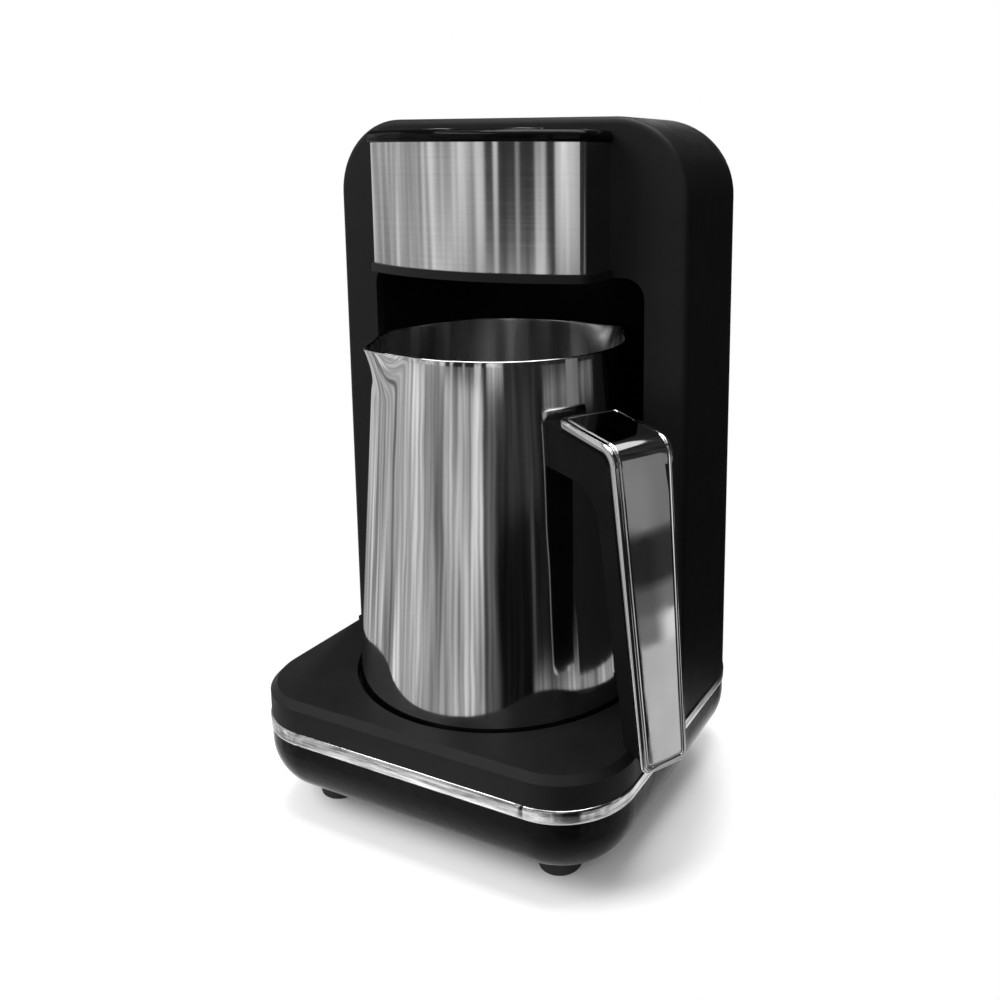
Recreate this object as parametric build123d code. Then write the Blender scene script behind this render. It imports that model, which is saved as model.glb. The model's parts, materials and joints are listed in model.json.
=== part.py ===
from build123d import *
import os
from math import cos, radians, sin, sqrt

# An electric coffee maker: base with a hot plate, tower, head and a lift-off pot.
# Lengths are in millimetres, +Z is up and the front faces -Y.
# Pieces are set out with X = 0 in the plane of symmetry, Y = 0 in the tower's
# front face and Z = 0 on the table; the last step moves the origin to the middle
# of the footprint of the whole.

# Driving sizes of the body
body_width = 146.0
body_height = 249.8
leg_width = 15.8
front_margin = 8.5
front_corner_radius = 26.1
rear_corner_radius = 24.0
tub_bottom = 6.5
tub_height = 23.65
band_height = 4.9
cover_height = 10.85
tub_top = tub_bottom + tub_height
band_top = tub_top + band_height
base_top = band_top + cover_height

# Extra length of every cutting solid, so that no cut ends on a face
overrun = 5.0

# Head heights, hung from the tower's top
panel_drop = 4.6
panel_thickness = 4.2
head_band_height = 43.1
ring_thickness = 3.0
opening_step = 0.3
panel_high = body_height - panel_drop
head_high = panel_high - panel_thickness
head_low = head_high - head_band_height
ring_low = head_low - ring_thickness
opening_top = ring_low + opening_step

# Alcove, the recess the pot stands in, and the depth of the body
opening_half_width = body_width / 2 - leg_width
opening_corner_radius = 7.5
liner_wall = 2.0
liner_back_gap = 5.1
alcove_ease = 0.1
alcove_radius = opening_half_width + alcove_ease
pot_axis_y = -0.4
front_y = pot_axis_y - alcove_radius - front_margin
back_y = pot_axis_y + alcove_radius + liner_wall + liner_back_gap
recess_depth = 5.8
plate_rise = 0.5
pot_lift_gap = 0.3
recess_floor = base_top - recess_depth
plate_top = recess_floor + plate_rise

# Pot
pot_side_gap = 2.1
pot_taper = 8.8
pot_head_room = 24.4
pot_bottom = plate_top + pot_lift_gap
pot_rim = opening_top - pot_head_room
pot_foot_radius = alcove_radius - pot_side_gap
pot_rim_radius = pot_foot_radius - pot_taper
recess_gap = 1.2
recess_radius = pot_foot_radius + recess_gap
pot_wall = 1.2
pot_floor = 1.6
pot_foot_round = 4.0
spout_height = 18.0
spout_bulge = 4.9
spout_start = pot_rim - spout_height
spout_start_radius = 4.0
spout_start_depth = 0.6
spout_rim_radius = 19.0
spout_reach = pot_rim_radius + spout_bulge
spout_angles = (56.0, 236.0)

# Base tub
tub_wall = 2.5
tub_floor = 3.0
tub_round = 19.0
foot_radius = 7.5
foot_pocket = 1.0
foot_edge = 1.0
foot_side_inset = 25.8
foot_end_inset = 22.9
foot_x = body_width / 2 - foot_side_inset
foot_front_y = front_y + foot_end_inset
foot_rear_y = back_y - foot_end_inset
foot_spots = [(sx * foot_x, y) for sx in (-1, 1) for y in (foot_front_y, foot_rear_y)]
base_screw_clearance = 0.8
base_screw_turn = 56.8
base_boss_radius = 4.5
base_boss_drop = 1.8
base_boss_top = tub_top - base_boss_drop
base_boss_bore = 3.4
base_screw_seat_drop = 12.0
base_screw_seat = base_boss_top - base_screw_seat_drop
base_screw_length = 20.0

# Screws
screw_radius = 1.5
screw_head_radius = 3.0
screw_head_height = 2.0
screw_hole_radius = 1.6
small_screw_radius = 1.25
small_head_radius = 2.6
small_head_height = 1.8
slot_width = 0.8
slot_depth = 0.8

# Chrome band
band_proud = 0.4
band_thickness = 2.0
band_split_inset = 0.3
band_split_x = body_width / 2 - front_corner_radius - band_split_inset
band_split_gap = 0.15

# Base cover
cover_wall = 2.5
cover_top = 2.5
cover_edge_bevel = 2.4
cup_wall = 2.5
cup_floor = 2.5
cover_boss_top = base_top - cover_top / 2
cover_pilot_depth = 10.0
loom_hole_radius = 3.5

# Hot plate, heater and sensors under it
plate_inset = 8.7
seal_width = 2.0
plate_flange_lap = 2.0
seal_lip_lap = 1.5
plate_radius = pot_foot_radius - plate_inset
plate_opening_radius = plate_radius + seal_width
plate_flange_radius = plate_opening_radius + plate_flange_lap
plate_flange = 2.5
plate_edge = 0.6
seal_lip_radius = plate_opening_radius + seal_lip_lap
seal_lip = 0.3
cup_underside = recess_floor - cup_floor
plate_underside = cup_underside - plate_flange
heater_inset = 10.5
heater_width = 7.0
heater_outer_radius = plate_radius - heater_inset
heater_inner_radius = heater_outer_radius - heater_width
heater_height = 4.8
heater_gap = 12.0
heater_pin_x = 9.0
heater_pin_radius = 1.6
heater_pin_length = 8.0
heater_pin_overlap = 1.0
bracket_lap = 7.0
bracket_rim = 2.8
bracket_inner_radius = plate_flange_radius - bracket_lap
bracket_thickness = 1.5
heater_screw_offset = 3.0
heater_screw_circle = plate_flange_radius + heater_screw_offset
bracket_outer_radius = heater_screw_circle + bracket_rim
heater_screw_angles = (90.0, 210.0, 330.0)
heater_boss_radius = 2.4
heater_screw_length = 5.0
heater_pilot_spare = 0.3
probe_radius = 6.0
probe_drop = 0.1
probe_flange_radius = 9.0
probe_flange = 1.6
fuse_radius = 2.2
fuse_length_share = 0.47
saddle_length_share = 0.68
saddle_width_share = 0.2
fuse_offset_y = (probe_flange_radius + heater_inner_radius) / 2
fuse_length = heater_inner_radius * fuse_length_share
saddle_length = heater_inner_radius * saddle_length_share
saddle_width = heater_inner_radius * saddle_width_share
saddle_thickness = 1.5
fuse_sink = 0.8

# Tower
frame_thickness = 4.0
frame_corner_radius = 27.5
frame_edge_round = 2.5
shell_wall = 2.5
lip_thickness = 1.5
lip_depth = 4.0
power_board_back_gap = 24.0
power_board_side_gap = 33.0
power_board_low_gap = 5.5
power_board_top_gap = 10.7
power_board_y = back_y - power_board_back_gap
power_board_half_width = body_width / 2 - power_board_side_gap
power_board_low = opening_top + liner_wall + power_board_low_gap
power_board_high = body_height - power_board_top_gap
tower_screw_side_inset = 13.0
tower_screw_drop = 28.7
tower_screw_x = body_width / 2 - tower_screw_side_inset
tower_screw_z = body_height - tower_screw_drop
tower_boss_radius = 3.5
tower_boss_gap = 10.0
tower_boss_end = power_board_y - tower_boss_gap
tower_tube_radius = 4.2
tower_tube_bore = 3.2
tower_seat_depth = 4.0
tower_screw_seat = tower_boss_end + tower_seat_depth
tower_screw_length = 16.0
tower_pilot_spare = 8.0
tower_pilot_start = tower_screw_seat - tower_screw_length - tower_pilot_spare
tower_foot_side_inset = 8.5
tower_foot_back_inset = 34.0
tower_foot_x = body_width / 2 - tower_foot_side_inset
tower_foot_y = back_y - tower_foot_back_inset
tower_foot_radius = 4.0
tower_foot_height = 16.0
tower_foot_pilot = 14.0
tower_foot_web = 3.0
gland_side_inset = 35.0
gland_rise = 12.7
gland_x = gland_side_inset - body_width / 2
gland_z = base_top + gland_rise
gland_body_radius = 6.0
gland_flange_radius = 8.0
gland_flange = 3.0
gland_lock_radius = 7.5
gland_lock = 2.5
gland_bore = 3.6

# Boards in the tower
board_thickness = 1.6
board_post_inset = 6.0
board_post_end_inset = 6.0
board_post_top_inset = 8.0
board_post_x = power_board_half_width - board_post_inset
board_post_heights = (power_board_low + board_post_end_inset, power_board_high - board_post_top_inset)
board_post_radius = 3.0
board_post_sink = 1.5
board_post_end = back_y - board_post_sink
board_pilot_depth = 9.0
board_screw_length = 8.0
transformer_shares = (-0.7, -0.15)
transformer_low_gap = 11.0
transformer_height = 21.0
transformer_depth = 20.0
transformer_x0 = power_board_half_width * transformer_shares[0]
transformer_x1 = power_board_half_width * transformer_shares[1]
transformer_z0 = power_board_low + transformer_low_gap
transformer_z1 = transformer_z0 + transformer_height
transformer_core_x = 3.0
transformer_core_z = 4.0
transformer_core_depth = 2.0
relay_shares = (0.0, 0.375)
relay_height = 15.0
relay_low_gap = 3.0
relay_x0 = power_board_half_width * relay_shares[0]
relay_x1 = power_board_half_width * relay_shares[1]
relay_z0 = power_board_low + relay_low_gap
relay_z1 = relay_z0 + relay_height
relay_depth = 15.0
capacitor_share = 0.65
capacitor_radius_share = 0.15
capacitor_rise = 18.0
capacitor_x = power_board_half_width * capacitor_share
capacitor_z = power_board_low + capacitor_rise
capacitor_radius = power_board_half_width * capacitor_radius_share
capacitor_length = 18.0
capacitor_vent_radius = 4.5
capacitor_vent_depth = 0.5

# Base screws, on a circle just outside the heater's bracket
base_screw_circle = bracket_outer_radius + base_boss_radius + base_screw_clearance
base_screw_x = base_screw_circle * cos(radians(base_screw_turn))
base_screw_reach = base_screw_circle * sin(radians(base_screw_turn))
base_screw_spots = [(sx * base_screw_x, pot_axis_y + sy * base_screw_reach) for sx in (-1, 1) for sy in (-1, 1)]

# Terminal block and wiring
loom_side_inset = 23.0
loom_back_inset = 18.0
loom_start_inset = 4.0
loom_start_rise = 17.0
loom_rise = 5.0
loom_radius = 2.0
loom_bend = 4.0
loom_x = body_width / 2 - loom_side_inset
loom_y = back_y - loom_back_inset
loom_start_x = power_board_half_width - loom_start_inset
loom_start_z = power_board_low + loom_start_rise
loom_low_z = tub_bottom + tub_floor + loom_rise
terminal_side_inset = 19.2
terminal_width = 12.0
terminal_length = 30.0
terminal_gap = 20.0
terminal_height = 10.0
terminal_x1 = body_width / 2 - terminal_side_inset
terminal_x0 = terminal_x1 - terminal_width
terminal_y1 = loom_y - terminal_gap
terminal_y0 = terminal_y1 - terminal_length
terminal_well_radius = 2.0
terminal_well_depth = 5.0
terminal_pitch = 9.0
terminal_poles = (-1, 0, 1)

# Head
head_side_gap = 13.3
head_half_width = opening_half_width - head_side_gap
head_side_depth = 18.0
head_bulge = 11.5
head_front_depth = head_side_depth + head_bulge
head_corner_round = 3.0
band_skin = 0.6
head_wall = 2.0
ring_proud = 0.9
panel_overhang = 1.3
panel_edge_round = 2.8
panel_low_round = 1.0
head_screw_inset = 5.8
head_screw_x = head_half_width - head_screw_inset
head_screw_z = (head_low + head_high) / 2
head_boss_radius = 3.6
head_boss_depth = 14.0
head_pilot_depth = 11.0
head_screw_length = 12.0
hatch_side_gap = 7.7
hatch_low_gap = 5.0
hatch_high_gap = 4.5
hatch_half_width = head_screw_x - hatch_side_gap
hatch_low = head_low + hatch_low_gap
hatch_high = head_high - hatch_high_gap
board_head_room = 12.5
board_low = head_high - board_head_room
ledge_sink = 0.3
ledge_width = 7.2
ledge_height = 3.0
ledge_end_gap = 1.0
ledge_outer_x = head_half_width - band_skin - head_wall + ledge_sink
ledge_inner_x = ledge_outer_x - ledge_width
ledge_low = board_low - ledge_height
control_board_side_gap = 5.5
control_board_back_gap = 2.0
control_board_depth = 13.0
control_board_half_width = head_half_width - control_board_side_gap
control_board_back_y = -control_board_back_gap
control_board_front_y = control_board_back_y - control_board_depth
ledge_front_y = control_board_front_y + ledge_end_gap
ledge_back_y = control_board_back_y - ledge_end_gap
switch_side = 6.0
switch_height = 3.5
plunger_radius = 1.7
plunger_height = 1.0
buzzer_radius = 4.5
buzzer_height = 5.0
buzzer_port_radius = 1.0
buzzer_port_depth = 1.0
button_share = 0.39
button_back_gap = 11.0
button_x = head_half_width * button_share
button_y = -button_back_gap
button_radius = 7.0
button_clearance = 0.3
button_proud = 0.6
button_edge = 0.5
button_flange_radius = 8.6
button_flange = 1.8
button_stem_radius = 2.2
button_travel = 1.0
button_spare = 0.2
window_y = -button_back_gap
window_radius = 5.0
window_sink = 0.3
eye_half_length = 9.0
eye_half_width = 6.0
eye_height = 7.0
eye_well_radius = 3.0
eye_well_depth = 4.0

# Handle, in the plane through the pot's axis: arm from the pot, grip hanging down
handle_angle = -27.0
handle_tilt = 7.0
handle_gap = 28.8
handle_drop = 21.0
handle_corner_r = pot_foot_radius + handle_gap
handle_corner_z = pot_rim - handle_drop
handle_bend = 8.0
arm_end_gap = 7.6
grip_end_gap = 0.3
arm_length = handle_corner_r - pot_rim_radius - arm_end_gap
grip_length = handle_corner_z - base_top - grip_end_gap
cover_thick_top = 4.0
cover_thick_low = 1.6
core_sink = 6.65
core_reach = handle_corner_r - pot_rim_radius + core_sink
core_arm_depth = 20.0
core_corner_depth = 18.2
core_grip_depth = 13.2
core_low_depth = 10.2
core_end_gap = 3.8
core_length = grip_length - core_end_gap
core_bend = 13.5
core_step = 0.6
handle_top_half = 12.2
handle_low_half = 9.1
handle_top_spare = 5.43
handle_low_spare = 1.3
handle_top_z = handle_corner_z + handle_top_spare
handle_low_z = base_top - handle_low_spare
handle_end_round = 3.0
handle_reach = 2 * handle_corner_r
tongue_sink = 5.7
tongue_length = 18.0
tongue_half = 5.0
tongue_top_gap = 1.57
tongue_height = 10.0
tongue_inner_r = pot_rim_radius - tongue_sink
tongue_outer_r = tongue_inner_r + tongue_length
tongue_high = handle_corner_z - tongue_top_gap
tongue_low = tongue_high - tongue_height
handle_screw_offset = 7.3
handle_seat_gap = 1.8
handle_screw_r = pot_rim_radius + handle_screw_offset
handle_screw_seat = tongue_low - handle_seat_gap
handle_screw_length = 9.0
handle_screw_bore = 3.0


def pillar(x, y, low, high, radius):
    """An upright cylinder."""
    return extrude(Pos(x, y, low) * Circle(radius), amount=high - low)


def rod(x, z, near, far, radius):
    """A cylinder along +Y from near to far."""
    plane = Plane((x, near, z), x_dir=(1, 0, 0), z_dir=(0, 1, 0))
    return extrude(plane * Circle(radius), amount=far - near)


def block(x0, x1, y0, y1, z0, z1):
    """A box between two corners."""
    middle = Pos((x0 + x1) / 2, (y0 + y1) / 2, (z0 + z1) / 2)
    return middle * Box(x1 - x0, y1 - y0, z1 - z0)


def screw(radius, length, head_radius, head_height):
    """A slotted screw that points up, with the underside of its head at the origin."""
    body = pillar(0, 0, -head_height, 0, head_radius) + pillar(0, 0, 0, length, radius)
    slot = block(-head_radius, head_radius, -slot_width / 2, slot_width / 2,
                 -head_height - overrun, -head_height + slot_depth)
    return body - slot


def upright_screw(x, y, z, radius, length, head_radius, head_height):
    """A screw driven upwards, its head seated at z."""
    return Pos(x, y, z) * screw(radius, length, head_radius, head_height)


def forward_screw(x, y, z, radius, length, head_radius, head_height):
    """A screw driven towards the front, its head seated at y."""
    return Pos(x, y, z) * Rot(90, 0, 0) * screw(radius, length, head_radius, head_height)


def backward_screw(x, y, z, radius, length, head_radius, head_height):
    """A screw driven towards the back, its head seated at y."""
    return Pos(x, y, z) * Rot(-90, 0, 0) * screw(radius, length, head_radius, head_height)


def join(solids):
    """One solid from several that meet."""
    whole = solids[0]
    for solid in solids[1:]:
        whole = whole + solid
    return whole


# Base

def base_block(inset, low, high):
    """The base's plan, moved inwards by the inset, between two heights."""
    half = body_width / 2 - inset
    near = front_y + inset
    far = back_y - inset
    face = make_face(Polyline((-half, near), (half, near), (half, far), (-half, far), close=True))
    face = fillet(face.vertices().group_by(Axis.Y)[0], front_corner_radius - inset)
    face = fillet(face.vertices().group_by(Axis.Y)[-1], rear_corner_radius - inset)
    return extrude(Pos(0, 0, low) * face, amount=high - low)


def make_base_tub():
    outer = base_block(0, tub_bottom, tub_top)
    outer = fillet(outer.faces().sort_by(Axis.Z)[0].edges(), tub_round)
    inner = base_block(tub_wall, tub_bottom + tub_floor, tub_top + overrun)
    inner = fillet(inner.faces().sort_by(Axis.Z)[0].edges(), tub_round - tub_wall)
    tub = outer - inner
    for x, y in base_screw_spots:
        tub = tub + (pillar(x, y, tub_bottom, base_boss_top, base_boss_radius) & outer)
        tub = tub - pillar(x, y, tub_bottom - overrun, base_screw_seat, base_boss_bore)
        tub = tub - pillar(x, y, base_screw_seat, base_boss_top + overrun, screw_hole_radius)
    for x, y in foot_spots:
        tub = tub - pillar(x, y, tub_bottom - overrun, tub_bottom + foot_pocket, foot_radius)
    return tub


def make_feet():
    feet = []
    for x, y in foot_spots:
        foot = pillar(x, y, 0, tub_bottom + foot_pocket, foot_radius)
        feet.append(fillet(foot.edges().sort_by(Axis.Z)[0], foot_edge))
    return feet


def make_base_screws():
    return [upright_screw(x, y, base_screw_seat, screw_radius, base_screw_length, screw_head_radius,
                          screw_head_height) for x, y in base_screw_spots]


def band_loop():
    outer = base_block(-band_proud, tub_top, band_top)
    inner = base_block(band_thickness - band_proud, tub_top - overrun, band_top + overrun)
    return outer - inner


def band_window(half):
    """The space in front of the band's two joints."""
    return block(-half, half, front_y - overrun, front_y + overrun, tub_top - overrun, band_top + overrun)


def make_chrome_band_front():
    return band_loop() & band_window(band_split_x - band_split_gap / 2)


def make_chrome_band_rear():
    return band_loop() - band_window(band_split_x + band_split_gap / 2)


def make_base_cover():
    skirt_inset = band_thickness - band_proud
    upper = base_block(0, band_top, base_top)
    front_space = block(-body_width, body_width, front_y - overrun, 0, band_top - overrun, base_top + overrun)
    front_half = upper & front_space
    rear_half = upper - front_space
    bevelled = front_half.faces().sort_by(Axis.Z)[-1].edges().sort_by(Axis.Y)[:-1]
    front_half = chamfer(bevelled, cover_edge_bevel)
    cover = front_half + rear_half + base_block(skirt_inset, tub_top, band_top)
    cover = cover - base_block(skirt_inset + cover_wall, tub_top - overrun, base_top - cover_top)
    cup_radius = recess_radius + cup_wall
    cover = cover + pillar(0, pot_axis_y, cup_underside, base_top - cover_top / 2, cup_radius)
    for x, y in base_screw_spots:
        cover = cover + pillar(x, y, base_boss_top, cover_boss_top, base_boss_radius)
    for angle in heater_screw_angles:
        x, y = heater_spot(angle)
        cover = cover + pillar(x, y, plate_underside, cup_underside + cup_floor / 2, heater_boss_radius)
    cover = cover - pillar(0, pot_axis_y, recess_floor, base_top + overrun, recess_radius)
    cover = cover - pillar(0, pot_axis_y, cup_underside - overrun, recess_floor + overrun, plate_opening_radius)
    for x, y in base_screw_spots:
        cover = cover - pillar(x, y, base_boss_top - overrun, base_boss_top + cover_pilot_depth, screw_radius)
    for angle in heater_screw_angles:
        x, y = heater_spot(angle)
        pilot_top = plate_underside - bracket_thickness + heater_screw_length + heater_pilot_spare
        cover = cover - pillar(x, y, plate_underside - overrun, pilot_top, small_screw_radius)
    cover = cover - pillar(loom_x, loom_y, base_top - cover_top - overrun, base_top + overrun, loom_hole_radius)
    for sx in (-1, 1):
        cover = cover - pillar(sx * tower_foot_x, tower_foot_y, base_top - cover_top - overrun,
                               base_top + overrun, screw_hole_radius)
    return cover


# Hot plate and heater

def heater_spot(angle):
    """Place of a heater screw on its circle about the pot's axis."""
    turn = radians(angle)
    return heater_screw_circle * cos(turn), pot_axis_y + heater_screw_circle * sin(turn)


def make_hot_plate():
    plate = pillar(0, pot_axis_y, cup_underside, plate_top, plate_radius)
    plate = fillet(plate.edges().sort_by(Axis.Z)[-1], plate_edge)
    plate = plate + pillar(0, pot_axis_y, plate_underside, cup_underside, plate_flange_radius)
    return plate - pillar(0, pot_axis_y, plate_underside - overrun, plate_top + overrun, probe_radius)


def make_plate_seal():
    seal = pillar(0, pot_axis_y, cup_underside, recess_floor, plate_opening_radius)
    seal = seal + pillar(0, pot_axis_y, recess_floor, recess_floor + seal_lip, seal_lip_radius)
    return seal - pillar(0, pot_axis_y, cup_underside - overrun, recess_floor + overrun, plate_radius)


def make_heating_element():
    low = plate_underside - heater_height
    ring = pillar(0, pot_axis_y, low, plate_underside, heater_outer_radius)
    ring = ring - pillar(0, pot_axis_y, low - overrun, plate_underside + overrun, heater_inner_radius)
    ring = ring - block(-heater_gap / 2, heater_gap / 2, pot_axis_y, pot_axis_y + heater_outer_radius + overrun,
                        low - overrun, plate_underside + overrun)
    middle_radius = (heater_inner_radius + heater_outer_radius) / 2
    pin_y = pot_axis_y + sqrt(middle_radius ** 2 - heater_pin_x ** 2)
    for sx in (-1, 1):
        ring = ring + pillar(sx * heater_pin_x, pin_y, low - heater_pin_length, low + heater_pin_overlap,
                             heater_pin_radius)
    return ring


def make_heater_bracket():
    low = plate_underside - bracket_thickness
    ring = pillar(0, pot_axis_y, low, plate_underside, bracket_outer_radius)
    ring = ring - pillar(0, pot_axis_y, low - overrun, plate_underside + overrun, bracket_inner_radius)
    for angle in heater_screw_angles:
        x, y = heater_spot(angle)
        ring = ring - pillar(x, y, low - overrun, plate_underside + overrun, small_screw_radius)
    return ring


def make_heater_screws():
    seat = plate_underside - bracket_thickness
    screws = []
    for angle in heater_screw_angles:
        x, y = heater_spot(angle)
        screws.append(upright_screw(x, y, seat, small_screw_radius, heater_screw_length, small_head_radius,
                                    small_head_height))
    return screws


def make_temperature_sensor():
    cup = pillar(0, pot_axis_y, plate_underside - probe_flange, plate_top - probe_drop, probe_radius)
    return cup + pillar(0, pot_axis_y, plate_underside - probe_flange, plate_underside, probe_flange_radius)


def make_thermal_fuse():
    y = pot_axis_y - fuse_offset_y
    low = plate_underside - saddle_thickness
    saddle = block(-saddle_length / 2, saddle_length / 2, y - saddle_width / 2, y + saddle_width / 2,
                   low, plate_underside)
    plane = Plane((-fuse_length / 2, y, low - fuse_radius + fuse_sink), x_dir=(0, 1, 0), z_dir=(1, 0, 0))
    return saddle + extrude(plane * Circle(fuse_radius), amount=fuse_length)


def make_terminal_block():
    low = tub_bottom + tub_floor
    body = block(terminal_x0, terminal_x1, terminal_y0, terminal_y1, low, low + terminal_height)
    x = (terminal_x0 + terminal_x1) / 2
    y = (terminal_y0 + terminal_y1) / 2
    for pole in terminal_poles:
        body = body - pillar(x, y + pole * terminal_pitch, low + terminal_height - terminal_well_depth,
                             low + terminal_height + overrun, terminal_well_radius)
    return body


def make_wiring_loom():
    board_back = power_board_y + board_thickness
    path = FilletPolyline(
        (loom_start_x, board_back, loom_start_z),
        (loom_start_x, loom_y, loom_start_z),
        (loom_x, loom_y, loom_start_z),
        (loom_x, loom_y, loom_low_z),
        (loom_x, terminal_y1, loom_low_z),
        radius=loom_bend)
    plane = Plane((loom_start_x, board_back, loom_start_z), x_dir=(1, 0, 0), z_dir=(0, 1, 0))
    return sweep(plane * Circle(loom_radius), path=path)


# Tower

def tower_block(inset, near, far):
    """The tower's front outline, moved inwards by the inset, between two depths."""
    half = body_width / 2 - inset
    plane = Plane((0, far, 0), x_dir=(1, 0, 0), z_dir=(0, -1, 0))
    face = make_face(Polyline((-half, base_top), (half, base_top), (half, body_height - inset),
                              (-half, body_height - inset), close=True))
    face = fillet(face.vertices().group_by(Axis.Y)[-1], frame_corner_radius - inset)
    return extrude(plane * face, amount=far - near)


def make_tower_front_frame():
    frame = tower_block(0, 0, frame_thickness)
    rounded = frame.faces().sort_by(Axis.Y)[0].edges().sort_by(Axis.Z)[1:]
    frame = fillet(rounded, frame_edge_round)
    lip = tower_block(shell_wall, frame_thickness, frame_thickness + lip_depth)
    lip = lip - tower_block(shell_wall + lip_thickness, frame_thickness - overrun,
                            frame_thickness + lip_depth + overrun)
    frame = frame + lip
    for sx in (-1, 1):
        x = sx * tower_screw_x
        frame = frame + rod(x, tower_screw_z, frame_thickness, tower_boss_end, tower_boss_radius)
        frame = frame - rod(x, tower_screw_z, tower_pilot_start, tower_boss_end + overrun, screw_radius)
    plane = Plane((0, frame_thickness + lip_depth + overrun, 0), x_dir=(1, 0, 0), z_dir=(0, -1, 0))
    face = make_face(Polyline((-opening_half_width, base_top - overrun), (opening_half_width, base_top - overrun),
                              (opening_half_width, opening_top), (-opening_half_width, opening_top), close=True))
    face = fillet(face.vertices().group_by(Axis.Y)[-1], opening_corner_radius)
    frame = frame - extrude(plane * face, amount=frame_thickness + lip_depth + overrun + overrun)
    frame = frame - block(-hatch_half_width, hatch_half_width, -overrun, frame_thickness + overrun,
                          hatch_low, hatch_high)
    for sx in (-1, 1):
        frame = frame - rod(sx * head_screw_x, head_screw_z, -overrun, frame_thickness + overrun,
                            screw_hole_radius)
    return frame


def make_tower_rear_shell():
    outer = tower_block(0, frame_thickness, back_y)
    outer = fillet(outer.faces().sort_by(Axis.Y)[-1].edges().sort_by(Axis.Z)[1:], rear_corner_radius)
    inner = tower_block(shell_wall, frame_thickness - overrun, back_y - shell_wall)
    inner = fillet(inner.faces().sort_by(Axis.Y)[-1].edges().sort_by(Axis.Z)[1:],
                   rear_corner_radius - shell_wall)
    shell = outer - inner
    for sx in (-1, 1):
        tube = rod(sx * tower_screw_x, tower_screw_z, tower_boss_end, back_y, tower_tube_radius)
        shell = shell + (tube & outer)
        foot = pillar(sx * tower_foot_x, tower_foot_y, base_top, base_top + tower_foot_height, tower_foot_radius)
        web = block(min(sx * tower_foot_x, sx * (body_width / 2 - shell_wall / 2)),
                    max(sx * tower_foot_x, sx * (body_width / 2 - shell_wall / 2)),
                    tower_foot_y - tower_foot_web / 2, tower_foot_y + tower_foot_web / 2,
                    base_top, base_top + tower_foot_height)
        shell = shell + foot + web
        for z in board_post_heights:
            shell = shell + rod(sx * board_post_x, z, power_board_y + board_thickness, board_post_end,
                                board_post_radius)
    for sx in (-1, 1):
        x = sx * tower_screw_x
        shell = shell - rod(x, tower_screw_z, tower_screw_seat, back_y + overrun, tower_tube_bore)
        shell = shell - rod(x, tower_screw_z, tower_boss_end - overrun, tower_screw_seat, screw_hole_radius)
        shell = shell - pillar(sx * tower_foot_x, tower_foot_y, base_top - overrun, base_top + tower_foot_pilot,
                               screw_radius)
        for z in board_post_heights:
            shell = shell - rod(sx * board_post_x, z, power_board_y, power_board_y + board_thickness
                                + board_pilot_depth, small_screw_radius)
    return shell - rod(gland_x, gland_z, back_y - shell_wall - overrun, back_y + overrun, gland_body_radius)


def make_tower_screws():
    screws = []
    for sx in (-1, 1):
        screws.append(forward_screw(sx * tower_screw_x, tower_screw_seat, tower_screw_z, screw_radius,
                                    tower_screw_length, screw_head_radius, screw_head_height))
        screws.append(upright_screw(sx * tower_foot_x, tower_foot_y, base_top - cover_top, screw_radius,
                                    tower_screw_length, screw_head_radius, screw_head_height))
    return screws


def make_recess_liner():
    outer = pillar(0, pot_axis_y, base_top, opening_top + liner_wall, alcove_radius + liner_wall)
    outer = fillet(outer.edges().sort_by(Axis.Z)[-1], opening_corner_radius + liner_wall)
    inner = pillar(0, pot_axis_y, base_top - overrun, opening_top, alcove_radius)
    inner = fillet(inner.edges().sort_by(Axis.Z)[-1], opening_corner_radius)
    behind = block(-body_width, body_width, frame_thickness, back_y, 0, body_height)
    return (outer - inner) & behind


def make_cord_gland():
    wall_in = back_y - shell_wall
    gland = rod(gland_x, gland_z, wall_in - gland_lock, wall_in, gland_lock_radius)
    gland = gland + rod(gland_x, gland_z, wall_in, back_y, gland_body_radius)
    gland = gland + rod(gland_x, gland_z, back_y, back_y + gland_flange, gland_flange_radius)
    return gland - rod(gland_x, gland_z, wall_in - gland_lock - overrun, back_y + gland_flange + overrun, gland_bore)


def make_power_board():
    board = block(-power_board_half_width, power_board_half_width, power_board_y, power_board_y + board_thickness,
                  power_board_low, power_board_high)
    for sx in (-1, 1):
        for z in board_post_heights:
            board = board - rod(sx * board_post_x, z, power_board_y - overrun, power_board_y + overrun,
                                small_screw_radius)
    return board


def make_board_screws():
    return [backward_screw(sx * board_post_x, power_board_y, z, small_screw_radius, board_screw_length,
                           small_head_radius, small_head_height) for sx in (-1, 1) for z in board_post_heights]


def make_transformer():
    body = block(transformer_x0, transformer_x1, power_board_y - transformer_depth, power_board_y,
                 transformer_z0, transformer_z1)
    core = block(transformer_x0 - transformer_core_x, transformer_x1 + transformer_core_x,
                 power_board_y - transformer_depth - transformer_core_depth,
                 power_board_y - transformer_core_depth - transformer_core_x,
                 transformer_z0 + transformer_core_z, transformer_z1 - transformer_core_z)
    return body + core


def make_relay():
    return block(relay_x0, relay_x1, power_board_y - relay_depth, power_board_y, relay_z0, relay_z1)


def make_filter_capacitor():
    near = power_board_y - capacitor_length
    can = rod(capacitor_x, capacitor_z, near, power_board_y, capacitor_radius)
    return can - rod(capacitor_x, capacitor_z, near - overrun, near + capacitor_vent_depth, capacitor_vent_radius)


# Head

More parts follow.
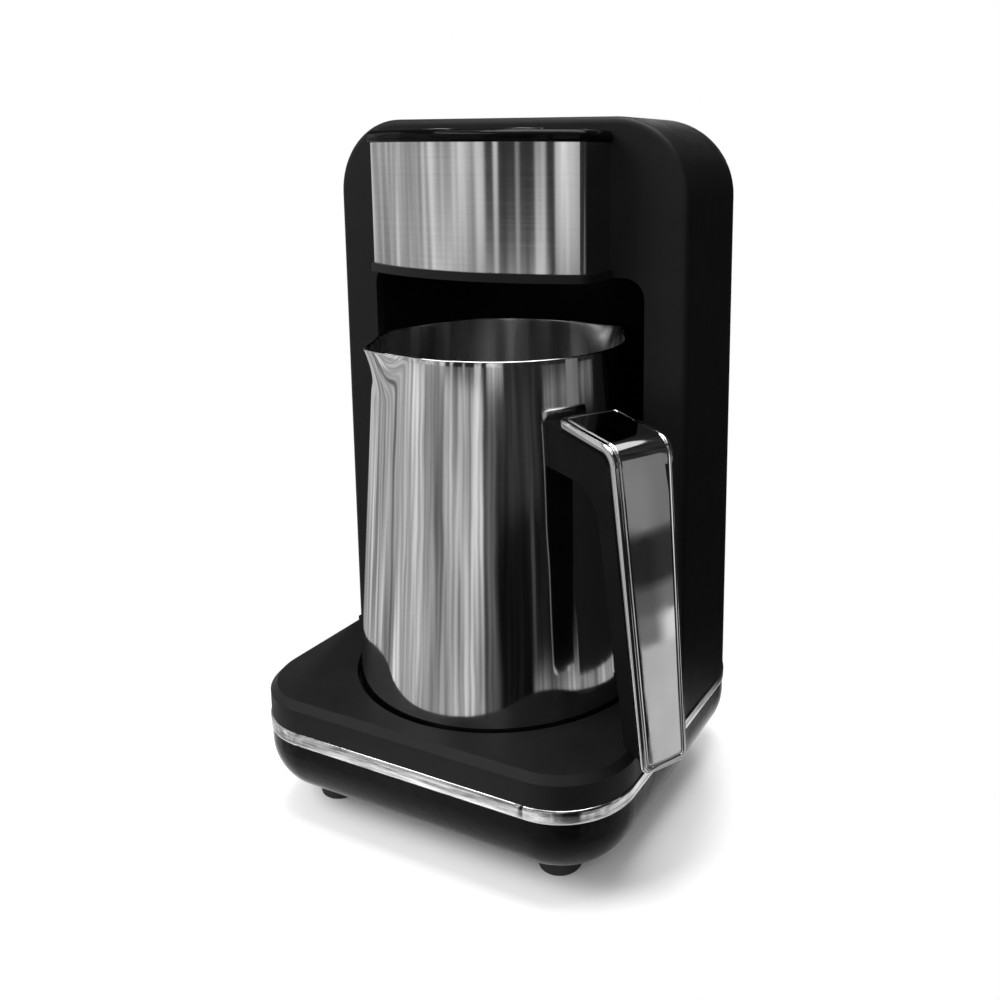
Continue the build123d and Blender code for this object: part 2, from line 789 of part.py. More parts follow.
def head_block(outset, back, low, high):
    """The head's plan, moved outwards by the outset, between two heights."""
    bulge = head_front_depth - head_side_depth
    arc_radius = (head_half_width ** 2 + bulge ** 2) / (2 * bulge)
    centre_y = arc_radius - head_front_depth
    half = head_half_width + outset
    corner_y = centre_y - sqrt((arc_radius + outset) ** 2 - half ** 2)
    tip_y = -head_front_depth - outset
    outline = Curve() + [
        Line((-half, back), (-half, corner_y)),
        ThreePointArc((-half, corner_y), (0, tip_y), (half, corner_y)),
        Line((half, corner_y), (half, back)),
        Line((half, back), (-half, back)),
    ]
    face = make_face(outline)
    corners = face.vertices().sort_by(Axis.Y)[:2]
    face = fillet(corners, head_corner_round + outset)
    return extrude(Pos(0, 0, low) * face, amount=high - low)


def make_head_steel_band():
    return head_block(0, 0, head_low, head_high) - head_block(-band_skin, overrun, head_low - overrun,
                                                              head_high + overrun)


def make_head_shell():
    shell = head_block(-band_skin, 0, head_low, head_high)
    shell = shell - head_block(-band_skin - head_wall, overrun, head_low - overrun, head_high + overrun)
    for sx in (-1, 1):
        boss = rod(sx * head_screw_x, head_screw_z, -head_boss_depth, 0, head_boss_radius)
        ledge = block(min(sx * ledge_inner_x, sx * ledge_outer_x), max(sx * ledge_inner_x, sx * ledge_outer_x),
                      ledge_front_y, ledge_back_y, ledge_low, board_low)
        shell = shell + boss + ledge
    for sx in (-1, 1):
        shell = shell - rod(sx * head_screw_x, head_screw_z, -head_pilot_depth, overrun, screw_radius)
    return shell


def make_head_screws():
    return [forward_screw(sx * head_screw_x, frame_thickness, head_screw_z, screw_radius, head_screw_length,
                          screw_head_radius, screw_head_height) for sx in (-1, 1)]


def make_head_lower_ring():
    ring = head_block(ring_proud, 0, ring_low, head_low)
    return ring - pillar(0, window_y, ring_low - overrun, head_low + overrun, window_radius)


def make_sensor_window():
    return pillar(0, window_y, ring_low + window_sink, head_low, window_radius)


def make_foam_sensor():
    body = block(-eye_half_length, eye_half_length, window_y - eye_half_width, window_y + eye_half_width,
                 head_low, head_low + eye_height)
    return body - pillar(0, window_y, head_low - overrun, head_low + eye_well_depth, eye_well_radius)


def make_head_top_panel():
    panel = head_block(panel_overhang, 0, head_high, panel_high)
    rounded = panel.faces().sort_by(Axis.Z)[-1].edges().sort_by(Axis.Y)[:-1]
    panel = fillet(rounded, panel_edge_round)
    rounded = panel.faces().sort_by(Axis.Z)[0].edges().sort_by(Axis.Y)[:-1]
    panel = fillet(rounded, panel_low_round)
    for sx in (-1, 1):
        panel = panel - pillar(sx * button_x, button_y, head_high - overrun, panel_high + overrun,
                               button_radius + button_clearance)
    return panel


def make_control_board():
    return block(-control_board_half_width, control_board_half_width, control_board_front_y, control_board_back_y,
                 board_low, board_low + board_thickness)


def make_key_switches():
    low = board_low + board_thickness
    switches = []
    for sx in (-1, 1):
        x = sx * button_x
        body = block(x - switch_side / 2, x + switch_side / 2, button_y - switch_side / 2,
                     button_y + switch_side / 2, low, low + switch_height)
        switches.append(body + pillar(x, button_y, low + switch_height, low + switch_height + plunger_height,
                                      plunger_radius))
    return switches


def make_buzzer():
    low = board_low + board_thickness
    y = (control_board_front_y + control_board_back_y) / 2
    can = pillar(0, y, low, low + buzzer_height, buzzer_radius)
    return can - pillar(0, y, low + buzzer_height - buzzer_port_depth, low + buzzer_height + overrun,
                        buzzer_port_radius)


def make_button(side):
    x = side * button_x
    flange_top = head_high - button_clearance
    flange_low = flange_top - button_flange
    plunger_top = board_low + board_thickness + switch_height + plunger_height
    cap = pillar(x, button_y, flange_top, panel_high + button_proud, button_radius)
    cap = fillet(cap.edges().sort_by(Axis.Z)[-1], button_edge)
    flange = pillar(x, button_y, flange_low, flange_top, button_flange_radius)
    stem = pillar(x, button_y, plunger_top + button_travel + button_spare, flange_low, button_stem_radius)
    return cap + flange + stem


# Pot and handle

def pot_radius(z):
    """Outer radius of the pot's wall at a height."""
    share = (z - pot_bottom) / (pot_rim - pot_bottom)
    return pot_foot_radius + (pot_rim_radius - pot_foot_radius) * share


def pot_cone(inset, low, high):
    """The pot's round wall as a solid cone, moved inwards by the inset."""
    cone = Cone(pot_radius(low) - inset, pot_radius(high) - inset, high - low)
    return Pos(0, 0, (low + high) / 2) * cone


def spout_cone(angle, inset, high):
    """A solid slanting cone that bulges out of the pot's wall into a pouring lip."""
    share = (high - spout_start) / (pot_rim - spout_start)
    low_centre = pot_radius(spout_start) - spout_start_radius - spout_start_depth
    rim_centre = spout_reach - spout_rim_radius
    centre = low_centre + (rim_centre - low_centre) * share
    radius = spout_start_radius + (spout_rim_radius - spout_start_radius) * share
    sections = [
        Pos(low_centre, 0, spout_start) * Circle(spout_start_radius - inset),
        Pos(centre, 0, high) * Circle(radius - inset),
    ]
    return Rot(0, 0, angle) * loft(sections, ruled=True)


def on_pot_axis(solid):
    return Pos(0, pot_axis_y, 0) * solid


def pot_outside():
    body = pot_cone(0, pot_bottom, pot_rim)
    return fillet(body.edges().sort_by(Axis.Z)[0], pot_foot_round)


def make_pot_body():
    outer = pot_outside()
    inner = pot_cone(pot_wall, pot_bottom + pot_floor, pot_rim + overrun)
    inner = fillet(inner.edges().sort_by(Axis.Z)[0], pot_foot_round - pot_wall)
    for angle in spout_angles:
        outer = outer + spout_cone(angle, 0, pot_rim)
        inner = inner + spout_cone(angle, pot_wall, pot_rim + overrun)
    return on_pot_axis(outer - inner)


def handle_point(back, down):
    """A point of the handle's profile: back along the arm and down the grip from the outer corner."""
    turn = radians(handle_tilt)
    r = handle_corner_r - back * cos(turn) + down * sin(turn)
    z = handle_corner_z + back * sin(turn) - down * cos(turn)
    return r, z


def handle_profile(points, rounds):
    """A plate with the given (r, z) outline, centred on the handle's middle plane."""
    outline = [handle_point(back, down) for back, down in points]
    face = make_face(Polyline(*outline, close=True))
    for index, radius in rounds:
        corner = face.vertices().sort_by_distance((outline[index][0], outline[index][1], 0))[0]
        face = fillet(corner, radius)
    return extrude(Plane.XZ * face, amount=body_width / 2, both=True)


def handle_taper(step):
    """The handle's width seen along the arm, narrower at the foot, with rounded lower corners."""
    top = handle_top_half - step
    low = handle_low_half - step
    plane = Plane((0, 0, 0), x_dir=(0, 1, 0), z_dir=(1, 0, 0))
    face = make_face(Polyline((-low, handle_low_z), (low, handle_low_z), (top, handle_top_z),
                              (-top, handle_top_z), close=True))
    return extrude(plane * face, amount=handle_reach)


def on_handle(solid):
    """Turns a piece made along +X from the pot's axis into the handle's direction."""
    return on_pot_axis(Rot(0, 0, handle_angle) * solid)


def handle_cover_local():
    points = [
        (arm_length, 0), (0, 0), (0, grip_length), (cover_thick_low, grip_length),
        (cover_thick_top, cover_thick_top), (arm_length, cover_thick_top),
    ]
    bar = handle_profile(points, [(1, handle_bend), (4, handle_bend - cover_thick_top)])
    bar = bar & handle_taper(0)
    ends = bar.edges().filter_by(lambda edge: edge.center().Z < handle_end_limit()).sort_by(Axis.Y)
    return fillet([ends[0], ends[-1]], handle_end_round)


def handle_end_limit():
    """Height under which only the edges of the cover's lower end lie."""
    return handle_point(cover_thick_low, grip_length)[1] + overrun / 2


def tongue_local():
    tongue = block(tongue_inner_r, tongue_outer_r, -tongue_half, tongue_half, tongue_low, tongue_high)
    tongue = tongue - pot_outside()
    return tongue - pillar(handle_screw_r, 0, tongue_low - overrun, handle_screw_seat + handle_screw_length,
                           screw_radius)


def make_handle_cover():
    return on_handle(handle_cover_local())


def make_handle_bracket():
    return on_handle(tongue_local())


def make_handle_core():
    points = [
        (core_reach, cover_thick_top), (cover_thick_top, cover_thick_top), (cover_thick_low, core_length),
        (core_low_depth, core_length), (core_grip_depth, core_corner_depth), (core_reach, core_arm_depth),
    ]
    core = handle_profile(points, [(1, handle_bend - cover_thick_top), (4, core_bend)])
    core = core & handle_taper(core_step)
    core = core - handle_cover_local() - pot_outside()
    core = core - block(tongue_inner_r, tongue_outer_r, -tongue_half, tongue_half, tongue_low, tongue_high)
    core = core - pillar(handle_screw_r, 0, handle_screw_seat - handle_bend, handle_screw_seat, handle_screw_bore)
    core = core - pillar(handle_screw_r, 0, handle_screw_seat, tongue_low + overrun, screw_radius)
    return on_handle(core)


def make_handle_screw():
    return on_handle(upright_screw(handle_screw_r, 0, handle_screw_seat, screw_radius, handle_screw_length,
                                   small_head_radius, small_head_height))


nodes = {
    "base_tub": make_base_tub(),
    "feet": make_feet(),
    "base_screws": make_base_screws(),
    "chrome_band_front": make_chrome_band_front(),
    "chrome_band_rear": make_chrome_band_rear(),
    "base_cover": make_base_cover(),
    "hot_plate": make_hot_plate(),
    "plate_seal": make_plate_seal(),
    "heating_element": make_heating_element(),
    "heater_bracket": make_heater_bracket(),
    "heater_screws": make_heater_screws(),
    "temperature_sensor": make_temperature_sensor(),
    "thermal_fuse": make_thermal_fuse(),
    "terminal_block": make_terminal_block(),
    "wiring_loom": make_wiring_loom(),
    "tower_front_frame": make_tower_front_frame(),
    "tower_rear_shell": make_tower_rear_shell(),
    "tower_screws": make_tower_screws(),
    "recess_liner": make_recess_liner(),
    "cord_gland": make_cord_gland(),
    "power_board": make_power_board(),
    "board_screws": make_board_screws(),
    "transformer": make_transformer(),
    "relay": make_relay(),
    "filter_capacitor": make_filter_capacitor(),
    "head_steel_band": make_head_steel_band(),
    "head_shell": make_head_shell(),
    "head_screws": make_head_screws(),
    "head_lower_ring": make_head_lower_ring(),
    "sensor_window": make_sensor_window(),
    "foam_sensor": make_foam_sensor(),
    "head_top_panel": make_head_top_panel(),
    "control_board": make_control_board(),
    "key_switches": make_key_switches(),
    "buzzer": make_buzzer(),
    "button_start": make_button(1),
    "button_size": make_button(-1),
    "pot_body": make_pot_body(),
    "handle_bracket": make_handle_bracket(),
    "handle_core": make_handle_core(),
    "handle_cover": make_handle_cover(),
    "handle_screw": make_handle_screw(),
}


def solids_of(piece):
    """The solids of a node, which is one piece or a list of equal pieces."""
    pieces = piece if isinstance(piece, list) else [piece]
    return [solid for one in pieces for solid in one.solids()]


os.makedirs("parts", exist_ok=True)
everything = Compound([solid for piece in nodes.values() for solid in solids_of(piece)])
bounds = everything.bounding_box()
to_origin = Pos(-(bounds.min.X + bounds.max.X) / 2, -(bounds.min.Y + bounds.max.Y) / 2, -bounds.min.Z)
print("moved by", to_origin.position, "size", bounds.size)
for name, piece in nodes.items():
    moved = [to_origin * solid for solid in solids_of(piece)]
    print(name, len(moved), round(sum(solid.volume for solid in moved), 1))
    export_step(moved[0] if len(moved) == 1 else Compound(moved), f"parts/{name}.step")
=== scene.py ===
import json
import math

import bmesh
import bpy
from mathutils import Matrix, Vector, noise


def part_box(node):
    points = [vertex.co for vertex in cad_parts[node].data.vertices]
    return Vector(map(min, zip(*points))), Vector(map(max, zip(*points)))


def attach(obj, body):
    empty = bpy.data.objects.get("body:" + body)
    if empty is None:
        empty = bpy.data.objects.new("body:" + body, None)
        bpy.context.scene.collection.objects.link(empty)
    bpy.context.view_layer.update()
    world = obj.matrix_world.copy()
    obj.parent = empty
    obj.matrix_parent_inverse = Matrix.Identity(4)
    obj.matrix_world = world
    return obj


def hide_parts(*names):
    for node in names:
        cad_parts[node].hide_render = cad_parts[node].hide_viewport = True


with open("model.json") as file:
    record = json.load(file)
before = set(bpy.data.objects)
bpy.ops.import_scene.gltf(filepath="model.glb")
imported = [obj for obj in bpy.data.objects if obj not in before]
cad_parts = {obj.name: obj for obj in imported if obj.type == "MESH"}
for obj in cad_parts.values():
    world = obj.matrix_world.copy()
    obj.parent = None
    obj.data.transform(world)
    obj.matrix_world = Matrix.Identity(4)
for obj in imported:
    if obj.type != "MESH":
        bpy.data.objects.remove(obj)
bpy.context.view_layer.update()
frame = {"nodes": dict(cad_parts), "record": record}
scene = bpy.context.scene
scene.view_settings.view_transform = "Standard"

# Layout frame: X = 0 in the plane of symmetry, Y = 0 in the tower's front face and Z = 0 on the table.
# Lengths below are in millimetres in that frame, and place() turns them into metres in the row's frame.
millimetre = 0.001
tower_low, tower_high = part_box("tower_front_frame")
layout_x = (tower_low.x + tower_high.x) / 2
layout_y = tower_low.y


def place(x, y, z):
    """A point of the layout frame, in metres in the row's frame."""
    return Vector((layout_x + x * millimetre, layout_y + y * millimetre, z * millimetre))


def layout_box(node):
    """Lowest and highest corner of a node in the layout frame, each as (x, y, z)."""
    corners = []
    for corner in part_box(node):
        moved = (corner.x - layout_x, corner.y - layout_y, corner.z)
        corners.append(tuple(value / millimetre for value in moved))
    return corners


# Sizes that the frame gives
(_, front_y, _), (body_half, back_y, tub_top) = layout_box("base_tub")
_, (_, _, band_top) = layout_box("chrome_band_rear")
_, (_, _, base_top) = layout_box("base_cover")
(_, _, pot_bottom), (_, _, pot_rim) = layout_box("pot_body")
pot_axis_y = -0.4

# Camera: its place, its turn to the left, its tilt down and its roll in degrees, and its lens in pixels

camera_x = 198.898
camera_y = -316.793
camera_z = 236.589
camera_yaw = 25.902
camera_pitch = 10.0
camera_roll = 0.188
camera_near = 10.0
focal_pixels = 1024.866
centre_px = 612.274
centre_py = 336.57
image_pixels = 1000.0
sensor_mm = 36.0


def make_camera():
    """The photograph's viewing angle, with the shift that sets the camera's centre in the picture."""
    yaw = math.radians(camera_yaw)
    pitch = math.radians(camera_pitch)
    roll = math.radians(camera_roll)
    forward = Vector((-math.sin(yaw) * math.cos(pitch), math.cos(yaw) * math.cos(pitch), -math.sin(pitch)))
    right = Vector((math.cos(yaw), math.sin(yaw), 0))
    up = right.cross(forward)
    right_rolled = math.cos(roll) * right + math.sin(roll) * up
    up_rolled = -math.sin(roll) * right + math.cos(roll) * up
    data = bpy.data.cameras.new("camera")
    data.sensor_width = sensor_mm
    data.lens = focal_pixels * sensor_mm / image_pixels
    data.shift_x = (image_pixels / 2 - centre_px) / image_pixels
    data.shift_y = (centre_py - image_pixels / 2) / image_pixels
    data.clip_start = camera_near * millimetre
    camera = bpy.data.objects.new("camera", data)
    turn = Matrix((right_rolled, up_rolled, -forward)).transposed()
    camera.matrix_world = Matrix.Translation(place(camera_x, camera_y, camera_z)) @ turn.to_4x4()
    scene.collection.objects.link(camera)
    scene.camera = camera


# Node trees

# Most of a noise's values lie between these two
noise_low = 0.3
noise_high = 0.7


class Tree:
    """A node tree with short ways to add and join nodes."""

    def __init__(self, owner):
        owner.use_nodes = True
        self.nodes = owner.node_tree.nodes
        self.links = owner.node_tree.links

    def add(self, kind, **values):
        node = self.nodes.new(kind)
        for key, value in values.items():
            setattr(node, key, value)
        return node

    def join(self, output, node_input):
        self.links.new(output, node_input)

    def ramp(self, value, low, high, from_low=noise_low, from_high=noise_high):
        """Maps a value to a range of plain numbers."""
        node = self.add("ShaderNodeMapRange")
        node.inputs["From Min"].default_value = from_low
        node.inputs["From Max"].default_value = from_high
        node.inputs["To Min"].default_value = low
        node.inputs["To Max"].default_value = high
        self.join(value, node.inputs["Value"])
        return node.outputs["Result"]

    def maths(self, operation, first, second):
        node = self.add("ShaderNodeMath", operation=operation)
        self.join(first, node.inputs[0])
        self.join(second, node.inputs[1])
        return node.outputs["Value"]

    def vector_maths(self, operation, vector, constant=None):
        """A vector node with one joined input and, where it needs a second one, a constant."""
        node = self.add("ShaderNodeVectorMath", operation=operation)
        self.join(vector, node.inputs[0])
        if constant is not None:
            node.inputs[1].default_value = constant
        return node

    def mix(self, factor, first, second):
        node = self.add("ShaderNodeMixShader")
        self.join(factor, node.inputs["Fac"])
        self.join(first, node.inputs[1])
        self.join(second, node.inputs[2])
        return node.outputs["Shader"]


class Shader(Tree):
    """A material's node tree round its principled shader."""

    def __init__(self, name):
        self.material = bpy.data.materials.new(name)
        super().__init__(self.material)
        self.principled = self.nodes["Principled BSDF"]
        self.coords = self.add("ShaderNodeTexCoord").outputs["Object"]

    def set(self, **values):
        for key, value in values.items():
            self.principled.inputs[key.replace("_", " ")].default_value = value

    def colour(self, output):
        self.join(output, self.principled.inputs["Base Color"])

    def roughness(self, output):
        self.join(output, self.principled.inputs["Roughness"])

    def surface(self, output):
        self.join(output, self.nodes["Material Output"].inputs["Surface"])

    def stretched(self, across, along):
        """The object's coordinates with one scale for X and Y and one for Z."""
        mapping = self.add("ShaderNodeMapping")
        mapping.inputs["Scale"].default_value = (across, across, along)
        self.join(self.coords, mapping.inputs["Vector"])
        return mapping.outputs["Vector"]

    def noise(self, scale=1.0, detail=3.0, rough=0.55, vector=None):
        node = self.add("ShaderNodeTexNoise")
        node.inputs["Scale"].default_value = scale
        node.inputs["Detail"].default_value = detail
        node.inputs["Roughness"].default_value = rough
        self.join(vector if vector is not None else self.coords, node.inputs["Vector"])
        return node.outputs["Fac"]

    def tint(self, value, dark, light, from_low=noise_low, from_high=noise_high):
        """Maps a noise value to colours between two colours."""
        node = self.add("ShaderNodeValToRGB")
        node.color_ramp.elements[0].position = from_low
        node.color_ramp.elements[0].color = (*dark, 1)
        node.color_ramp.elements[1].position = from_high
        node.color_ramp.elements[1].color = (*light, 1)
        self.join(value, node.inputs["Fac"])
        return node.outputs["Color"]

    def bump(self, value, strength, distance):
        node = self.add("ShaderNodeBump")
        node.inputs["Strength"].default_value = strength
        node.inputs["Distance"].default_value = distance
        self.join(value, node.inputs["Height"])
        self.join(node.outputs["Normal"], self.principled.inputs["Normal"])

    def brush(self, amount):
        """Spreads reflections upwards and downwards, as level brushing or spinning does."""
        self.set(Anisotropic=amount, Anisotropic_Rotation=0.25)
        node = self.add("ShaderNodeTangent", direction_type="RADIAL", axis="Z")
        self.join(node.outputs["Tangent"], self.principled.inputs["Tangent"])


def grey(value):
    return (value, value, value)


# Materials

def satin_plastic(name, dark, light, rough_low, rough_high, grain_size, grain_height, specular=0.35):
    """Moulded plastic with a fine spark grain and faint handling marks."""
    s = Shader(name)
    s.set(Metallic=0.0, Specular_IOR_Level=specular)
    clouds = s.noise(scale=45.0, detail=4.0)
    marks = s.noise(scale=120.0)
    grain = s.noise(scale=1.0 / grain_size, detail=2.0)
    s.colour(s.tint(clouds, dark=grey(dark), light=grey(light)))
    s.roughness(s.ramp(marks, low=rough_low, high=rough_high))
    s.bump(grain, strength=0.25, distance=grain_height)
    return s.material


def gloss_plastic(name, dark, light, rough_low, rough_high, specular=0.4):
    """Polished moulded plastic with faint smears and a slow ripple."""
    s = Shader(name)
    s.set(Metallic=0.0, Specular_IOR_Level=specular)
    clouds = s.noise(scale=30.0)
    smears = s.noise(scale=60.0, detail=5.0)
    ripple = s.noise(scale=170.0, detail=2.0)
    s.colour(s.tint(clouds, dark=grey(dark), light=grey(light)))
    s.roughness(s.ramp(smears, low=rough_low, high=rough_high))
    s.bump(ripple, strength=0.4, distance=0.0004)
    return s.material


def plain_metal(name, dark, light, rough_low, rough_high, scale):
    """Dull worked metal, such as a turned plate or plated screws."""
    s = Shader(name)
    s.set(Metallic=1.0)
    grain = s.noise(scale=scale, detail=4.0)
    s.colour(s.tint(grain, dark=grey(dark), light=grey(light)))
    s.roughness(s.ramp(grain, low=rough_low, high=rough_high))
    s.bump(grain, strength=0.1, distance=0.0001)
    return s.material


def chrome(name):
    """Bright plated trim: mirror finish with a slight ripple and fine wipe marks."""
    s = Shader(name)
    s.set(Metallic=1.0)
    clouds = s.noise(scale=40.0)
    marks = s.noise(scale=150.0, detail=4.0)
    ripple = s.noise(scale=45.0, detail=2.0)
    s.colour(s.tint(clouds, dark=grey(0.64), light=grey(0.78)))
    s.roughness(s.ramp(marks, low=0.03, high=0.08))
    s.bump(ripple, strength=0.12, distance=0.0006)
    return s.material


def painted_streak_chrome(name):
    """The trim of the base: plated strip with painted reflection streaks in its colour, dark and pale along
    its length, and duller where they are dark.
    """
    s = Shader(name)
    s.set(Metallic=1.0)
    streaks = s.noise(detail=6.0, rough=0.7, vector=s.stretched(across=70.0, along=900.0))
    # Painted reflection: the colour runs from dark to pale along the streaks
    s.colour(s.tint(streaks, dark=grey(0.22), light=grey(0.85), from_low=0.36, from_high=0.6))
    s.roughness(s.ramp(streaks, low=0.16, high=0.06))
    s.bump(streaks, strength=0.2, distance=0.0001)
    return s.material


def brushed_steel(name):
    """Sheet steel brushed along the band, with hairlines that run level."""
    s = Shader(name)
    s.set(Metallic=1.0)
    s.brush(amount=1.0)
    hairlines = s.noise(detail=4.0, rough=0.7, vector=s.stretched(across=14.0, along=2600.0))
    s.colour(s.tint(hairlines, dark=grey(0.58), light=grey(0.64)))
    s.roughness(s.ramp(hairlines, low=0.1, high=0.13))
    s.bump(hairlines, strength=0.03, distance=0.00004)
    return s.material


def polished_steel(name):
    """Spun steel: polished outside with faint waves, duller inside the pot."""
    s = Shader(name)
    s.set(Metallic=1.0)
    s.brush(amount=0.8)
    smears = s.noise(detail=5.0, rough=0.6, vector=s.stretched(across=60.0, along=14.0))
    turning = s.noise(detail=1.0, rough=0.4, vector=s.stretched(across=110.0, along=3.0))
    waves = s.noise(detail=2.0, rough=0.5, vector=s.stretched(across=38.0, along=16.0))
    s.colour(s.tint(smears, dark=grey(0.56), light=grey(0.68)))
    rough = s.add("ShaderNodeMix", data_type="FLOAT")
    s.join(inside_of_pot(s), rough.inputs["Factor"])
    s.join(s.ramp(smears, low=0.05, high=0.09), rough.inputs["A"])
    s.join(s.ramp(turning, low=0.15, high=0.32), rough.inputs["B"])
    s.roughness(rough.outputs["Result"])
    s.bump(waves, strength=0.32, distance=0.0008)
    return s.material


def inside_of_pot(s):
    """1 where the surface faces the pot's axis and 0 where it faces away."""
    no_height = (1.0, 1.0, 0.0)
    from_axis = s.vector_maths("SUBTRACT", s.coords, place(0.0, pot_axis_y, 0.0))
    level = s.vector_maths("MULTIPLY", from_axis.outputs["Vector"], no_height)
    facing = s.vector_maths("DOT_PRODUCT", level.outputs["Vector"])
    s.join(s.add("ShaderNodeNewGeometry").outputs["Normal"], facing.inputs[1])
    return s.ramp(facing.outputs["Value"], low=1.0, high=0.0, from_low=-0.002, from_high=0.002)


def rubber(name):
    """Matt black rubber."""
    s = Shader(name)
    s.set(Metallic=0.0, Specular_IOR_Level=0.25)
    grain = s.noise(scale=900.0, detail=2.0)
    s.colour(s.tint(grain, dark=grey(0.012), light=grey(0.022)))
    s.roughness(s.ramp(grain, low=0.6, high=0.85))
    s.bump(grain, strength=0.25, distance=0.0001)
    return s.material


def circuit_board(name):
    """Green lacquer over copper tracks."""
    s = Shader(name)
    s.set(Metallic=0.0)
    tracks = s.noise(scale=160.0, detail=1.0, rough=0.3)
    s.colour(s.tint(tracks, dark=(0.01, 0.06, 0.02), light=(0.03, 0.13, 0.05),
                    from_low=0.48, from_high=0.52))
    s.roughness(s.ramp(tracks, low=0.3, high=0.45))
    s.bump(tracks, strength=0.2, distance=0.00005)
    return s.material


def dark_glass(name):
    """The dark red window of the sensor."""
    s = Shader(name)
    s.set(Metallic=0.0)
    veil = s.noise(scale=200.0, detail=2.0)
    s.colour(s.tint(veil, dark=(0.05, 0.004, 0.004), light=(0.08, 0.008, 0.008)))
    s.roughness(s.ramp(veil, low=0.03, high=0.08))
    return s.material


materials = {
    "satin_black": satin_plastic("satin_black", dark=0.006, light=0.008, rough_low=0.4, rough_high=0.5,
                                 grain_size=0.0004, grain_height=0.00006, specular=0.14),
    # The alcove's plastic is a darker copy of the satin black, with painted shade for the inside of the
    # alcove
    "alcove_black": satin_plastic("alcove_black", dark=0.0016, light=0.0024, rough_low=0.45, rough_high=0.6,
                                  grain_size=0.0005, grain_height=0.00005, specular=0.1),
    "inner_plastic": satin_plastic("inner_plastic", dark=0.02, light=0.03, rough_low=0.45, rough_high=0.6,
                                   grain_size=0.0005, grain_height=0.00005),
    "handle_plastic": satin_plastic("handle_plastic", dark=0.003, light=0.005, rough_low=0.4,
                                    rough_high=0.52, grain_size=0.0004, grain_height=0.00006, specular=0.05),
    "gloss_black": gloss_plastic("gloss_black", dark=0.0016, light=0.0026, rough_low=0.04, rough_high=0.09,
                                 specular=0.07),
    "key_plastic": gloss_plastic("key_plastic", dark=0.012, light=0.018, rough_low=0.12, rough_high=0.2),
    "plate_metal": plain_metal("plate_metal", dark=0.3, light=0.42, rough_low=0.3, rough_high=0.45,
                               scale=300.0),
    "heater_metal": plain_metal("heater_metal", dark=0.26, light=0.38, rough_low=0.4, rough_high=0.55,
                                scale=200.0),
    "screw_steel": plain_metal("screw_steel", dark=0.36, light=0.48, rough_low=0.25, rough_high=0.4,
                               scale=500.0),
    "iron_core": plain_metal("iron_core", dark=0.08, light=0.14, rough_low=0.5, rough_high=0.65,
                             scale=400.0),
    "foot_rubber": rubber("foot_rubber"),
    "wire_sheath": rubber("wire_sheath"),
    "chrome_trim": chrome("chrome_trim"),
    # The base trim, with painted reflection streaks in its colour
    "chrome_strip": painted_streak_chrome("chrome_strip"),
    "brushed_band": brushed_steel("brushed_band"),
    "pot_steel": polished_steel("pot_steel"),
    "board_green": circuit_board("board_green"),
    "window_glass": dark_glass("window_glass"),
}


def dress_frame():
    """Gives every carried-over node the material of its slot."""
    for subpart in frame["record"]["subparts"]:
        node = frame["nodes"][subpart["node"]]
        node.data.materials.clear()
        node.data.materials.append(materials[subpart["material_slot"]])


# Meshes

def ring_mesh(name, rings, close_rings=True, caps=False):
    """A mesh skinned over rings of points, each ring closed on itself or open."""
    count = len(rings[0])
    mesh = bpy.data.meshes.new(name)
    faces = []
    for row in range(len(rings) - 1):
        for step in range(count if close_rings else count - 1):
            near = row * count
            after = (step + 1) % count
            faces.append((near + step, near + after, near + count + after, near + count + step))
    if caps:
        faces.append(tuple(reversed(range(count))))
        faces.append(tuple(range((len(rings) - 1) * count, len(rings) * count)))
    mesh.from_pydata([tuple(point) for ring in rings for point in ring], [], faces)
    mesh.validate()
    bm = bmesh.new()
    bm.from_mesh(mesh)
    bmesh.ops.recalc_face_normals(bm, faces=bm.faces)
    bm.to_mesh(mesh)
    bm.free()
    mesh.polygons.foreach_set("use_smooth", [True] * len(mesh.polygons))
    piece = bpy.data.objects.new(name, mesh)
    scene.collection.objects.link(piece)
    return piece


def dress(piece, slot, body, *nodes):
    """Gives a piece its slot's material and body, in place of the named nodes."""
    piece.data.materials.append(materials[slot])
    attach(piece, body)
    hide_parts(*nodes)


# Floor

floor_radius = 135.0
floor_fade = 86.0
floor_sides = 128


def make_floor():
    """A pale disc that fades out into the white behind it."""
    mesh = bpy.data.meshes.new("floor")
    bm = bmesh.new()
    bmesh.ops.create_circle(bm, cap_ends=True, segments=floor_sides, radius=floor_radius * millimetre)
    bm.to_mesh(mesh)
    bm.free()
    floor = bpy.data.objects.new("floor", mesh)
    floor.location = place(0.0, 0.0, 0.0)
    scene.collection.objects.link(floor)
    s = Shader("floor")
    s.set(Roughness=0.9, Specular_IOR_Level=0.0)
    s.colour(s.tint(s.noise(scale=8.0), dark=grey(0.88), light=grey(0.92)))
    from_middle = s.vector_maths("LENGTH", s.coords).outputs["Value"]
    fade = s.ramp(from_middle, low=0.0, high=1.0,
                  from_low=floor_fade * millimetre, from_high=floor_radius * millimetre)
    clear = s.add("ShaderNodeBsdfTransparent").outputs["BSDF"]
    s.surface(s.mix(fade, s.principled.outputs["BSDF"], clear))
    floor.data.materials.append(s.material)


# Studio wall that reflections show

studio_radius = 900.0
studio_low = -700.0
studio_high = 1300.0
studio_turns = 720
studio_rows = 80
studio_base = 0.03
full_turn = 360.0
half_turn = full_turn / 2

